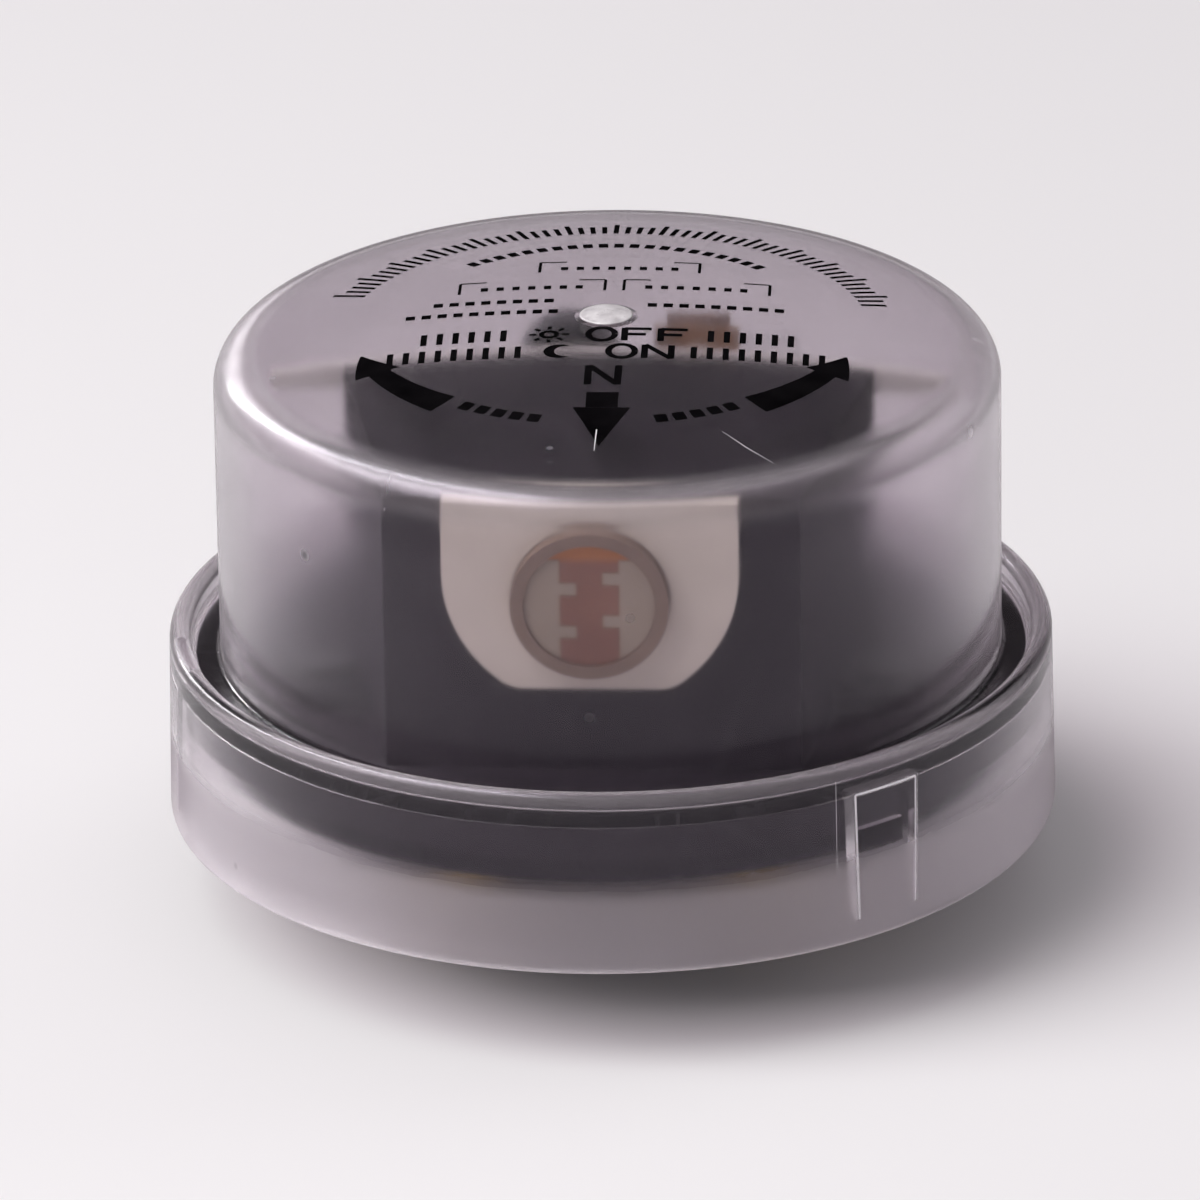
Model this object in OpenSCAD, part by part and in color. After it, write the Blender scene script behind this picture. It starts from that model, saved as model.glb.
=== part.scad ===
// Twist-lock photocell switch for outdoor lighting, thermal time-delay type.
// Millimetres, +Z up. The origin is under the centre, on the plane of the three blade tips.
// The light cell looks out along -Y.

/* [Cover] */
// Outside diameter of the skirt at its rim
cover_d = 84; // [82:0.5:88]
// Extra radius that the skirt gains from rim to foot
skirt_flare = 0.3; // [0:0.1:0.8]
// Height of the skirt, foot to rim
skirt_h = 18; // [17:0.5:22]
// Thickness of the skirt wall
skirt_wall = 2; // [1.6:0.1:2.2]
// Outside diameter of the dome
dome_d = 74.4; // [73:0.2:75.6]
// Height of the crown above the rim
dome_rise = 30.85; // [29:0.05:34]
// Thickness of the dome wall
dome_wall = 1.8; // [1.4:0.1:2.2]
// Radius of the rounded edge round the top of the dome
edge_r = 3.5; // [3:0.1:5]
// Radius of the slightly domed top
crown_r = 204; // [150:1:300]
// Depth of the gutter between the dome and the rim
gutter_depth = 2.3; // [1.5:0.1:3]
// Thickness of the floor of the gutter
gutter_floor = 1.5; // [1.2:0.1:2]
// Diameter of the moulding gate mark at the centre of the top
gate_d = 6; // [4:0.5:8]
// Height of the gate mark
gate_h = 0.5; // [0.2:0.1:0.8]

/* [Snap tabs] */
// Number of snap tabs round the skirt
tab_count = 3; // [2:1:6]
// Turn of the first tab from the front, towards +X
tab_turn = 40.5; // [0:0.5:60]
// Width of a tab at its free end
tab_w = 6.9; // [6:0.1:9]
// Narrowing of a tab on each side, from its free end to its root
tab_taper = 0.25; // [0:0.05:1]
// Width of the slit round a tab
tab_slit = 0.4; // [0.3:0.1:0.8]
// Height of the plain band left under the slits
tab_root = 2.3; // [0.8:0.1:2.5]
// Rise of the top of the slits above the underside of the gutter
tab_rise = 0.9; // [0:0.1:1]
// Reach of the barb inwards from the skirt wall
barb_reach = 1.2; // [0.8:0.1:1.4]
// Height of the barb's ramp
barb_h = 3; // [2:0.1:4]

/* [Base] */
// Thickness of the base flange
flange_t = 3.4; // [3:0.1:4.5]
// Height of the spigot that locates the base in the dome
spigot_h = 1.2; // [0.8:0.1:3]
// Gap between the flange and the skirt
flange_gap = 0.4; // [0.2:0.1:0.6]
// Gap between the spigot and the dome
spigot_gap = 0.3; // [0.2:0.1:0.6]
// Depth of the groove that seats the gasket
gasket_seat = 0.8; // [0.4:0.1:1.2]

/* [Gasket] */
// Width of the gasket ring
gasket_w = 11.5; // [9:0.5:13]
// Gap from the gasket to the barbs of the snap tabs
gasket_gap = 1.3; // [1:0.1:3]
// Thickness of the gasket
gasket_t = 4; // [3:0.1:5]

/* [Blades] */
// Drop of the blade tips below the skirt
blade_drop = 9.5; // [7:0.5:12]
// Diameter of the circle that the blades are formed on
blade_circle_d = 31.8; // [30:0.1:33]
// Thickness of the blade strip
blade_t = 1.5; // [1.2:0.1:1.7]
// Width of the line and load blades along the circle
blade_w = 7; // [6:0.1:7.6]
// Width of the neutral blade along the circle
neutral_w = 9.5; // [8:0.1:11]
// Reach of the locking lug along the circle
lug_w = 2.6; // [2:0.1:3.5]
// Height of the locking lug
lug_h = 4.2; // [3:0.1:6]
// Length of the foot that each blade bends into, on the base
foot_l = 4.9; // [4.6:0.1:5.1]
// Gap round a blade in its slot
slot_gap = 0.15; // [0.1:0.05:0.3]
// Diameter of a rivet shank
rivet_d = 2.6; // [2:0.1:2.8]
// Diameter of a rivet head
rivet_head_d = 4.2; // [3.8:0.1:4.4]
// Height of a rivet head
rivet_head_h = 1; // [0.8:0.1:1.2]

/* [Chassis] */
// Width of the chassis at its front
chassis_front_w = 38; // [37:0.5:40]
// Width of the chassis at its open back
chassis_rear_w = 50; // [49:0.5:52]
// Place of the open back behind the centre
chassis_rear = 2.2; // [1.5:0.1:3]
// Thickness of the chassis walls
chassis_wall = 1.6; // [1.2:0.1:1.8]
// Gap from the chassis corners to the inside of the dome
chassis_gap = 0.8; // [0.6:0.1:1.5]
// Gap from the chassis to the underside of the crown's edge
chassis_top_gap = 1.05; // [0.8:0.05:2]
// Diameter of the screws that hold the chassis and the board
screw_d = 2.5; // [2:0.1:2.6]

/* [Light cell] */
// Width of the white cell holder
holder_w = 27; // [26:0.1:29]
// Thickness of the cell holder
holder_t = 2.6; // [2.2:0.1:2.8]
// Drop from the top of the holder to the centre of its round end
holder_drop = 6.9; // [6:0.1:8]
// Drop from the centre of the round end to its flat foot
holder_foot = 11.4; // [10:0.1:12]
// Radius of the two corners between the round end and the flat foot
holder_corner = 3.5; // [2:0.1:5]
// Diameter of the light cell
cell_d = 14.5; // [13:0.1:15]
// Thickness of the light cell
cell_t = 2.6; // [2.2:0.1:2.8]
// Drop from the top of the holder to the centre of the cell
cell_drop = 9.4; // [9:0.1:10]
// Depth of the seat for the cell in its holder
cell_seat = 1; // [0.6:0.1:1.4]
// Width of the raised rim round the cell's face
cell_rim = 1.2; // [0.8:0.1:1.6]
// Depth of the cell's face below its rim
cell_face = 0.5; // [0.3:0.1:0.8]
// Thickness of the films on the cell's face
film_t = 0.12; // [0.1:0.01:0.2]
// Distance between the two cell leads
lead_pitch = 5.1; // [4.5:0.1:5.6]
// Diameter of bare leads
lead_d = 0.7; // [0.6:0.05:0.8]

/* [Switch] */
// Thickness of the switch board
board_t = 1.6; // [1.2:0.1:2]
// Reach of the board's top ears past the chassis, each side
board_ear = 7; // [5:0.5:7.5]
// Height of the board's top ears at their ends
board_ear_h = 1.2; // [1:0.1:2]
// Gap from the underside of the crown to the arched tops of the board and the chassis
arch_gap = 3.9; // [3.5:0.1:5]
// Place of the switch along the board, towards +X
switch_x = 8; // [6:0.5:9]
// Width of the two brackets
bracket_w = 8; // [7:0.5:9]
// Thickness of the bracket strip
bracket_t = 0.8; // [0.6:0.1:1]
// Distance from the board to the bimetal arm
arm_gap = 8.4; // [8:0.1:9]
// Height of the arm's foot above the base floor
arm_foot = 4.1; // [4:0.1:5]
// Width of the bimetal arm
arm_w = 6; // [5:0.5:6.5]
// Thickness of the bimetal arm
arm_t = 0.8; // [0.6:0.1:1]
// Height of the lap where the arm is welded to its bracket
lap_h = 7; // [6:0.5:8]
// Drop from the top of the arm to the contacts
contact_drop = 2.8; // [2.6:0.1:3.4]
// Diameter of the contact heads
contact_d = 4; // [3.6:0.1:4.4]
// Height of each contact head
contact_h = 1; // [0.8:0.1:1.2]
// Diameter of the heater's ceramic body
heater_d = 5.2; // [4.6:0.1:5.6]
// Length of the heater's ceramic body
heater_l = 14; // [12:0.5:15]
// Gap between the arm and the heater
heater_gap = 1.8; // [1.6:0.1:2.4]
// Diameter of the surge arrester disc
arrester_d = 10; // [8:0.1:11]
// Thickness of the surge arrester disc
arrester_t = 4; // [3.4:0.1:4.4]
// Diameter of insulated wire
wire_d = 1.8; // [1.5:0.1:2]

/* [Hidden] */
$fn = 96;
eps = 0.01;

// Heights, from the blade tips up
z_skirt = blade_drop;
z_rim = z_skirt + skirt_h;
z_gutter = z_rim - gutter_depth;
z_seat = z_gutter - gutter_floor;
z_under = z_seat - flange_t;
z_floor = z_seat + spigot_h;
z_gasket = z_under + gasket_seat - gasket_t;
z_apex = z_rim + dome_rise;

// Cover radii, and the centres of the curves that the dome's top is drawn with
skirt_r = cover_d / 2;
skirt_in = skirt_r - skirt_wall;
dome_r = dome_d / 2;
dome_in = dome_r - dome_wall;
edge_x = dome_r - edge_r;
crown_z = z_apex - crown_r;
edge_z = crown_z + sqrt(pow(crown_r - edge_r, 2) - pow(edge_x, 2));
crown_turn = asin(edge_x / (crown_r - edge_r));
gutter_r = 0.6;
foot_r = 0.5;

// Snap tabs
tab_top = z_seat + tab_rise;
slit_depth = 0.6;
barb_z = z_under - 0.1;
barb_w = tab_w - 2 * tab_taper - 1;

// Base and blades
flange_r = skirt_in - flange_gap;
spigot_r = dome_in - spigot_gap;
gasket_r = skirt_in - barb_reach - gasket_gap;
gasket_in = gasket_r - gasket_w;
blade_r = blade_circle_d / 2;
blade_in = blade_r - blade_t / 2;
blade_out = blade_r + blade_t / 2;
foot_out = blade_out + foot_l;
z_foot = z_floor + blade_t;
rivet_r = (blade_out + foot_out) / 2;
rivet_gap = 0.1;
line_turn = 210;
load_turn = 330;
neutral_turn = 90;

// Chassis: a trapezium in plan, closed at the front and the top
front_half = chassis_front_w / 2;
rear_half = chassis_rear_w / 2;
chassis_corner = dome_in - chassis_gap;
chassis_front = -sqrt(pow(chassis_corner, 2) - pow(front_half, 2));
z_top = edge_z + sqrt(pow(edge_r - dome_wall, 2) - pow(max(0, chassis_corner - edge_x), 2)) - chassis_top_gap;
chassis_slope = (rear_half - front_half) / (chassis_rear - chassis_front);
side_wall = chassis_wall * sqrt(1 + pow(chassis_slope, 2));
screw_r = screw_d / 2;
screw_gap = 0.05;
screw_head_r = screw_d;
screw_head_h = 1.6;
screw_l = 5;
chassis_foot_t = 2;
chassis_foot_w = 8;
chassis_foot_y = -12;
chassis_screw_x = chassis_half(chassis_foot_y) + 3.6;
boss_r = screw_r + 1.2;
boss_l = 7;
boss_x = rear_half - side_wall - boss_r + 0.6;
boss_z = (z_floor + z_top) / 2 + 1;
arch_r = crown_r - dome_wall - arch_gap;

// Light cell
holder_front = chassis_front - holder_t;
holder_r = holder_w / 2;
holder_z = z_top - holder_drop;
cell_r = cell_d / 2;
cell_z = z_top - cell_drop;
cell_back = holder_front + cell_seat;
cell_front = cell_back - cell_t;
film_y = cell_front + cell_face;
film_r = cell_r - cell_rim - 0.1;
peg_r = 1.4;
peg_x = holder_r - 3.2;
peg_z = z_top - 3.4;
fit_gap = 0.1;
lead_r = lead_d / 2;

// Switch on the back of the board
board_back = chassis_rear + board_t;
arm_front = board_back + arm_gap;
arm_back = arm_front + arm_t;
z_arm = z_floor + arm_foot;
contact_z = z_top - contact_drop;
contact_tab = arm_front - 2 * contact_h;
contact_foot = 4.8;
contact_shelf = contact_z - contact_d / 2 - 0.8 - bracket_t;
heater_y = arm_back + heater_gap + heater_d / 2;
heater_z = z_arm + 3;
wire_r = wire_d / 2;
arrester_side = 3;
arrester_off = 3;
arrester_rise = 1.1;
arrester_x = switch_x - bracket_w / 2 - arrester_side - arrester_d / 2;
arrester_y = board_back + arrester_off + arrester_t / 2;
arrester_z = z_top + arrester_rise - arrester_d / 2;
bracket_foot = 8;
lead_run = 5;
lead_bend = 4;
lead_step = 0.9;
lead_loop = 2;
lead_back = 6;
wire_side = 6;
wire_up = 2.6;
wire_gap = 0.6;

// Half width of the chassis outside, at a place along Y
function chassis_half(y) = front_half + chassis_slope * (y - chassis_front);

// Points along an arc, from one angle to another
function arc(x, z, r, from, to, n) = [for (i = [0 : n]) let (a = from + (to - from) * i / n) [x + r * cos(a), z + r * sin(a)]];

// Angle along the blade circle that a width takes up
function turn_of(width) = width / blade_r * 180 / PI;

// A place on the base: radius, turn and sideways shift
function on_base(r, turn, shift, z) = [r * cos(turn) - shift * sin(turn), r * sin(turn) + shift * cos(turn), z];

// Unit vector along a run
function unit(v) = v / norm(v);

// Stations of a round bend at one corner of a path: each has a place and a direction
function bend_stations(from, at, to, bend) =
    let (
        way = unit(at - from),
        next = unit(to - at),
        turn = acos(way * next),
        inward = unit(next - (next * way) * way),
        centre = at - way * bend * tan(turn / 2) + inward * bend
    )
    [for (i = [0 : 4]) let (a = turn * i / 4)
        [centre + bend * (sin(a) * way - cos(a) * inward), cos(a) * way + sin(a) * inward]];

// Stations of a whole path: its start, a round bend at every corner and its end
function stations(p, bend) = concat(
    [[p[0], unit(p[1] - p[0])]],
    [for (i = [1 : len(p) - 2]) each bend_stations(p[i - 1], p[i], p[i + 1], bend)],
    [[p[len(p) - 1], unit(p[len(p) - 1] - p[len(p) - 2])]]
);

// Ring of points square to a station; the leaning vector keeps neighbouring rings from twisting
function ring(station, r, n) =
    let (
        lean = [1, 0.45, 0.3],
        way = station[1],
        u = unit(lean - (lean * way) * way),
        v = cross(way, u)
    )
    [for (i = [0 : n - 1]) station[0] + r * (cos(360 * i / n) * u + sin(360 * i / n) * v)];

// Bent wire along a list of points: a round section swept over straight runs and round bends
module wire(p, r) {
    n = 10;
    path = stations(p, 2.2 * r);
    last = len(path) - 1;
    sides = [
        for (i = [0 : last - 1], j = [0 : n - 1])
            let (a = i * n + j, b = i * n + (j + 1) % n)
            each [[a, a + n, b + n], [a, b + n, b]]
    ];
    caps = [[for (j = [0 : n - 1]) j], [for (j = [n - 1 : -1 : 0]) last * n + j]];
    polyhedron(points = [for (at = path) each ring(at, r, n)], faces = concat(sides, caps), convexity = 6);
}

// Cylinder along +Y
module pin_y(at, h, r) {
    translate(at) rotate([-90, 0, 0]) cylinder(h = h, r = r);
}

// Profile in Y and Z, extruded along X and centred there
module strip_x(x, w) {
    translate([x - w / 2, 0, 0]) rotate([90, 0, 90]) linear_extrude(w) children();
}

// Outline in X and Z, extruded towards the back from a place along Y
module plate_y(y, t) {
    translate([0, y + t, 0]) rotate([90, 0, 0]) linear_extrude(t) children();
}

// Ring sector about Z, centred on a turn
module sector(turn, width_turn) {
    rotate([0, 0, turn - width_turn / 2]) rotate_extrude(angle = width_turn) children();
}

// Section of the cover, from the crown out over the edge, the gutter and the rim to the skirt foot
module cover_section() {
    gate_r = gate_d / 2;
    gate_z = crown_z + sqrt(pow(crown_r, 2) - pow(gate_r, 2));
    gate_curve = (pow(gate_r, 2) + pow(gate_h, 2)) / (2 * gate_h);
    gate_turn = asin(gate_r / gate_curve);
    rim_r = skirt_wall / 2;
    skirt_foot = skirt_r + skirt_flare;
    inner_edge_r = edge_r - dome_wall;
    polygon(concat(
        arc(0, gate_z + gate_h - gate_curve, gate_curve, 90, 90 - gate_turn, 8),
        arc(0, crown_z, crown_r, 90 - asin(gate_r / crown_r) - 0.3, 90 - crown_turn, 22),
        arc(edge_x, edge_z, edge_r, 90 - crown_turn - 3.2, 0, 24),
        arc(dome_r + gutter_r, z_gutter + gutter_r, gutter_r, 180, 270, 8),
        arc(skirt_in - gutter_r, z_gutter + gutter_r, gutter_r, 270, 360, 8),
        arc(skirt_r - rim_r, z_rim - rim_r, rim_r, 180, 0, 32),
        arc(skirt_foot - foot_r, z_skirt + foot_r, foot_r, 0, -90, 6),
        [[skirt_foot - skirt_wall, z_skirt], [skirt_in, z_seat], [dome_in, z_seat]],
        arc(edge_x, edge_z, inner_edge_r, 0, 90 - crown_turn, 20),
        arc(0, crown_z, crown_r - dome_wall, 90 - crown_turn + 0.4, 90, 22)
    ));
}

// Slit round one snap tab, open towards the foot of the skirt
module tab_slits() {
    half = tab_w / 2;
    root = half - tab_taper;
    z_root = z_skirt + tab_root;
    polygon([
        [-half - tab_slit, tab_top], [half + tab_slit, tab_top],
        [root + tab_slit, z_root], [root, z_root],
        [half, tab_top - tab_slit], [-half, tab_top - tab_slit],
        [-root, z_root], [-root - tab_slit, z_root]
    ]);
}

module at_tabs() {
    for (i = [0 : tab_count - 1]) rotate([0, 0, tab_turn + i * 360 / tab_count]) children();
}

module cover() {
    reach = skirt_wall + skirt_flare + 2;
    color([0.45, 0.43, 0.45, 0.5]) union() {
        difference() {
            rotate_extrude($fn = 180) cover_section();
            at_tabs() plate_y(-skirt_in + slit_depth - reach, reach) tab_slits();
        }
        at_tabs() strip_x(0, barb_w)
            polygon([
                [-skirt_in - 0.5, barb_z], [-skirt_in + barb_reach, barb_z],
                [-skirt_in + barb_reach, barb_z - 0.5], [-skirt_in - 0.5, barb_z - barb_h]
            ]);
    }
}

module base() {
    pilot = z_floor - screw_l + chassis_foot_t - 0.3;
    color([0.08, 0.08, 0.09]) difference() {
        union() {
            translate([0, 0, z_under]) cylinder(h = flange_t, r = flange_r);
            translate([0, 0, z_seat - eps]) cylinder(h = spigot_h + eps, r = spigot_r);
        }
        // Groove for the gasket
        translate([0, 0, z_under - 1]) difference() {
            cylinder(h = 1 + gasket_seat, r = gasket_r + fit_gap);
            translate([0, 0, -1]) cylinder(h = 3 + gasket_seat, r = gasket_in - fit_gap);
        }
        blade_slot(line_turn, blade_w);
        blade_slot(load_turn, blade_w);
        blade_slot(neutral_turn, neutral_w);
        at_rivets() translate([0, 0, z_under - 1]) cylinder(h = flange_t + spigot_h + 2, d = rivet_d + 2 * rivet_gap);
        for (side = [-1, 1]) translate([side * chassis_screw_x, chassis_foot_y, pilot])
            cylinder(h = z_floor, r = screw_r + screw_gap);
    }
}

module blade_slot(turn, w) {
    sector(turn, turn_of(w + 2 * slot_gap))
        translate([blade_in - slot_gap, z_under - 1])
            square([blade_t + 2 * slot_gap, flange_t + spigot_h + 2]);
}

module at_rivets() {
    for (turn = [line_turn, load_turn, neutral_turn]) translate(on_base(rivet_r, turn, 0, 0)) children();
}

module gasket() {
    color([0.05, 0.05, 0.055]) translate([0, 0, z_gasket]) difference() {
        cylinder(h = gasket_t, r = gasket_r);
        translate([0, 0, -1]) cylinder(h = gasket_t + 2, r = gasket_in);
    }
}

// One blade: curved strip, locking lug at the tip and a bent foot riveted to the base
module blade(turn, w) {
    lug_turn = turn_of(lug_w);
    strip_turn = turn_of(w);
    color([0.78, 0.62, 0.3]) difference() {
        sector(turn + lug_turn / 2, strip_turn + lug_turn) polygon(concat(
            [[blade_in, 0], [blade_out, 0], [blade_out, z_floor], [foot_out, z_floor], [foot_out, z_foot]],
            arc(blade_in + blade_t, z_floor, blade_t, 90, 180, 5)
        ));
        // Only the lug is left beside the strip
        sector(turn + strip_turn / 2 + lug_turn, 2 * lug_turn)
            translate([blade_in - 1, lug_h]) square([blade_t + foot_l + 2, z_foot]);
        translate(on_base(rivet_r, turn, 0, z_floor - 1)) cylinder(h = blade_t + 2, d = rivet_d + 2 * rivet_gap);
    }
}

module line_blade() blade(line_turn, blade_w);
module load_blade() blade(load_turn, blade_w);
module neutral_blade() blade(neutral_turn, neutral_w);

// Rivets through the blade feet and the base, domed above and rolled flat below
module blade_rivets() {
    head_r = rivet_head_d / 2;
    dome_r = (pow(head_r, 2) + pow(rivet_head_h, 2)) / (2 * rivet_head_h);
    color([0.7, 0.7, 0.68]) at_rivets() union() {
        translate([0, 0, z_under - 0.6]) cylinder(h = 0.6, r = head_r);
        translate([0, 0, z_under - eps]) cylinder(h = z_foot - z_under + 2 * eps, d = rivet_d);
        intersection() {
            translate([0, 0, z_foot + rivet_head_h - dome_r]) sphere(r = dome_r);
            translate([0, 0, z_foot]) cylinder(h = rivet_head_h, r = head_r);
        }
    }
}

// Plan of the chassis, drawn in by a wall on the front and the sides and run out past the back
module chassis_plan(wall, side, past) {
    front = chassis_front + wall;
    rear = chassis_rear + past;
    polygon([
        [-chassis_half(front) + side, front], [chassis_half(front) - side, front],
        [chassis_half(rear) - side, rear], [-chassis_half(rear) + side, rear]
    ]);
}

// Arched top edge, from right to left, that follows the crown
function arch(r, half) = arc(0, crown_z, r, 90 - asin(half / r), 90 + asin(half / r), 12);

// Plan that is raised from a floor up to an arched top
module under_arch(r, floor_z) {
    half = rear_half + 4;
    intersection() {
        translate([0, 0, floor_z]) linear_extrude(z_apex - floor_z) children();
        plate_y(chassis_front - 1, chassis_rear - chassis_front + 4)
            polygon(concat(arch(r, half), [[-half, floor_z - 1], [half, floor_z - 1]]));
    }
}

module chassis() {
    color([0.06, 0.06, 0.065]) difference() {
        union() {
            difference() {
                under_arch(arch_r, z_floor) chassis_plan(0, 0, 0);
                under_arch(arch_r - chassis_wall, z_floor - 1) chassis_plan(chassis_wall, side_wall, 1);
            }
            for (side = [-1, 1]) {
                pin_y([side * boss_x, chassis_rear - boss_l, boss_z], boss_l, boss_r);
                chassis_foot(side);
            }
        }
        for (side = [-1, 1]) {
            pin_y([side * boss_x, chassis_rear - boss_l + 1, boss_z], boss_l, screw_r + screw_gap);
            translate([side * chassis_screw_x, chassis_foot_y, z_floor - 1])
                cylinder(h = chassis_foot_t + 2, r = screw_r + 0.2);
            pin_y([side * peg_x, chassis_front - 1, peg_z], chassis_wall + 2, peg_r + fit_gap);
            pin_y([side * lead_pitch / 2, chassis_front - 1, cell_z], chassis_wall + 2, lead_d);
        }
    }
}

// Screw foot on one side of the chassis
module chassis_foot(side) {
    inner = chassis_half(chassis_foot_y) - side_wall / 2;
    outer = chassis_screw_x;
    translate([0, chassis_foot_y, z_floor]) linear_extrude(chassis_foot_t) {
        translate([side > 0 ? inner : -outer, -chassis_foot_w / 2]) square([outer - inner, chassis_foot_w]);
        translate([side * outer, 0]) circle(d = chassis_foot_w);
    }
}

// Pan-head screw along +Z, head upwards, with its bearing face at the origin
module pan_screw() {
    union() {
        cylinder(h = screw_head_h, r = screw_head_r);
        translate([0, 0, -screw_l]) cylinder(h = screw_l + eps, r = screw_r);
    }
}

module chassis_screws() {
    color([0.12, 0.12, 0.13]) for (side = [-1, 1])
        translate([side * chassis_screw_x, chassis_foot_y, z_floor + chassis_foot_t]) pan_screw();
}

module board_screws() {
    color([0.7, 0.7, 0.72]) for (side = [-1, 1])
        translate([side * boss_x, board_back, boss_z]) rotate([-90, 0, 0]) pan_screw();
}

// White plate with a round lower end cut flat, a seat for the cell and two pegs into the chassis
module cell_holder() {
    corner_z = holder_z - holder_foot + holder_corner;
    corner_x = sqrt(pow(holder_r - holder_corner, 2) - pow(holder_foot - holder_corner, 2));
    corner_turn = atan2(holder_foot - holder_corner, corner_x);
    color([0.93, 0.91, 0.87]) difference() {
        union() {
            plate_y(holder_front, holder_t) polygon(concat(
                arc(corner_x, corner_z, holder_corner, -90, -corner_turn - 3, 6),
                arc(0, holder_z, holder_r, -corner_turn, 0, 12),
                [[holder_r, z_top], [-holder_r, z_top]],
                arc(0, holder_z, holder_r, 180, 180 + corner_turn, 12),
                arc(-corner_x, corner_z, holder_corner, 183 + corner_turn, 270, 6)
            ));
            for (side = [-1, 1])
                pin_y([side * peg_x, chassis_front - eps, peg_z], chassis_wall + eps, peg_r);
        }
        pin_y([0, holder_front - 1, cell_z], 1 + cell_seat, cell_r + fit_gap);
        for (side = [-1, 1])
            pin_y([side * lead_pitch / 2, holder_front, cell_z], holder_t + 1, lead_d);
    }
}

// Ceramic disc of the light cell, with a raised rim round its face
module cell_body() {
    color([0.72, 0.6, 0.5]) difference() {
        pin_y([0, cell_front, cell_z], cell_t, cell_r);
        pin_y([0, cell_front - 1, cell_z], 1 + cell_face, cell_r - cell_rim);
    }
}

// Two metal films on the cell's face: a segment on each side, cut flat at the top, with short fingers
module electrode_outline(gap) {
    edge = film_r * 0.46;
    finger_w = film_r * 0.2;
    finger_l = film_r * 0.22;
    top = film_r * 0.76;
    for (side = [-1, 1]) intersection() {
        circle(r = film_r);
        translate([-film_r, -2 * film_r]) square([2 * film_r, 2 * film_r + top + gap]);
        union() {
            translate([side > 0 ? edge - gap : -film_r * 2 + gap, -film_r]) square([film_r * 2 - edge, film_r * 2]);
            for (i = [-1, 1])
                translate([side * (edge - finger_l / 2), (i + side * 0.25) * film_r * 0.36])
                    square([finger_l + 2 * gap + 0.4, finger_w + 2 * gap], center = true);
        }
    }
}

module cell_electrodes() {
    color([0.72, 0.69, 0.64]) translate([0, 0, cell_z])
        plate_y(film_y - film_t, film_t) electrode_outline(0);
}

// Light-sensitive film that fills the rest of the cell's face
module cell_track() {
    color([0.5, 0.26, 0.17]) translate([0, 0, cell_z]) plate_y(film_y - film_t, film_t) difference() {
        circle(r = film_r);
        electrode_outline(0.05);
    }
}

// Places of the two eyelets in the board, which join cell leads in front to the circuit behind
eyelet_side = 5;
eyelet_low = 2.6;
eyelet_far = 10;
eyelet_drop = 3;
eyelet_heater = [switch_x + bracket_w / 2 + eyelet_side, 0, contact_z - eyelet_low];
eyelet_neutral = [-eyelet_far, 0, cell_z - eyelet_drop];
eyelet_in = 0.5;
eyelet_r = 0.9;
eyelet_flange = 0.3;

module cell_leads() {
    back = chassis_front + lead_run;
    end = chassis_rear + board_t / 2;
    color([0.75, 0.75, 0.75]) for (lead = [[1, eyelet_heater], [-1, eyelet_neutral]]) {
        x = lead[0] * lead_pitch / 2;
        to = lead[1];
        wire([
            [x, cell_back, cell_z], [x, back, cell_z],
            [to[0], -lead_bend, to[2]], [to[0], end - 0.1, to[2]]
        ], lead_r);
    }
}

// Fibre board that closes the back of the chassis, with an arched top edge that runs out into ears
module switch_board() {
    reach = rear_half + board_ear;
    ear_z = crown_z + sqrt(pow(arch_r, 2) - pow(reach, 2)) - board_ear_h;
    color([0.72, 0.66, 0.56]) difference() {
        plate_y(chassis_rear, board_t) polygon(concat(
            arch(arch_r, reach),
            [[-reach, ear_z], [-rear_half, ear_z], [-rear_half, z_floor]],
            [[rear_half, z_floor], [rear_half, ear_z], [reach, ear_z]]
        ));
        for (side = [-1, 1]) pin_y([side * boss_x, chassis_rear - 1, boss_z], board_t + 2, screw_r + 0.2);
        for (at = [eyelet_heater, eyelet_neutral]) pin_y(on_board(at), board_t + 2, eyelet_r + fit_gap);
        for (at = [line_hole, load_hole]) pin_y(on_board(at), board_t + 2, wire_r + wire_gap);
        for (at = bracket_rivet_places) pin_y(on_board(at), board_t + 2, bracket_rivet_r + fit_gap);
    }
}

// A place on the board, started a little in front of it
function on_board(at) = [at[0], chassis_rear - 1, at[2]];

module board_eyelets() {
    color([0.8, 0.65, 0.35]) for (at = [eyelet_heater, eyelet_neutral]) difference() {
        union() {
            pin_y([at[0], chassis_rear - eyelet_flange, at[2]], board_t + 2 * eyelet_flange, eyelet_r);
            pin_y([at[0], chassis_rear - eyelet_flange, at[2]], eyelet_flange, eyelet_r + 0.6);
            pin_y([at[0], board_back, at[2]], eyelet_flange, eyelet_r + 0.6);
        }
        pin_y([at[0], chassis_rear - 1, at[2]], board_t + 2, eyelet_in);
    }
}

// Rivets that hold the brackets: two in the foot of each
bracket_rivet_r = 0.8;
bracket_rivet_head = 1.4;
bracket_rivet_h = 0.5;
arm_rivet_z = z_arm + 5;
contact_rivet_z = contact_shelf - contact_foot / 2 + bracket_t / 2;
bracket_rivet_places = [
    for (z = [arm_rivet_z, contact_rivet_z], side = [-1, 1]) [switch_x + side * bracket_w / 4, 0, z]
];

module bracket_rivets() {
    color([0.7, 0.7, 0.68]) for (at = bracket_rivet_places) union() {
        pin_y([at[0], chassis_rear - bracket_rivet_h, at[2]], bracket_rivet_h, bracket_rivet_head);
        pin_y([at[0], chassis_rear - eps, at[2]], board_t + bracket_t + 2 * eps, bracket_rivet_r);
        pin_y([at[0], board_back + bracket_t, at[2]], bracket_rivet_h, bracket_rivet_head);
    }
}

module bracket_rivet_holes() {
    for (at = bracket_rivet_places)
        pin_y([at[0], board_back - 1, at[2]], bracket_t + 2, bracket_rivet_r + fit_gap);
}

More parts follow.
